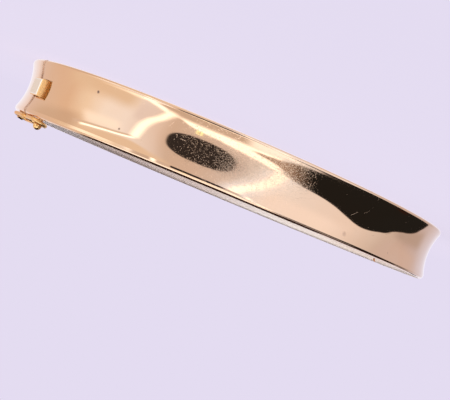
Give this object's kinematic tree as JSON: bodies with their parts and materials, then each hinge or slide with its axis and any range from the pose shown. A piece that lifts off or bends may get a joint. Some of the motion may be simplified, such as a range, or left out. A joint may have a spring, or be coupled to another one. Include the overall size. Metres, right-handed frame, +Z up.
{
  "type": "hinged bangle",
  "caption": "Oval hinged bangle with a concave polished gold band, a box clasp with a thumb-piece, and a figure-eight safety catch over a ball stud.",
  "frame": {"origin": "middle of the oval, on the plane of the lower rim that the bangle rests on", "axes": "+Z up through the wrist opening, +X along the long axis towards the clasp, +Y from the back half to the front half"},
  "size_m": [0.0624, 0.053, 0.0086],
  "materials": {
    "band_gold": "polished rose gold with fine scratches",
    "clasp_gold": "polished gold, slightly deeper in colour",
    "pin_gold": "polished gold wire"
  },
  "bodies": {
    "back": {"back_half": "band_gold", "hinge_pin": "pin_gold"},
    "front": {"front_half": "band_gold"},
    "thumb": {"thumb_piece": "clasp_gold"},
    "catch": {"safety_catch": "clasp_gold"}
  },
  "joints": [
    {"name": "bangle_hinge", "type": "hinge", "parent": "back", "child": "front", "pos_m": [-0.03035, 0, 0], "axis": [0, 0, 1], "range_deg": [0, 56]},
    {"name": "thumb_press", "type": "hinge", "parent": "front", "child": "thumb", "pos_m": [0.02954, -0.0042, 0.0036], "axis": [0, 0, 1], "range_deg": [0, 4], "stiffness_Nm_per_rad": 0.4},
    {"name": "catch_flip", "type": "hinge", "parent": "front", "child": "catch", "pos_m": [0.0297, 0.0042, 0.00764], "axis": [-0.9848, 0, 0.1736], "range_deg": [0, 165]}
  ]
}
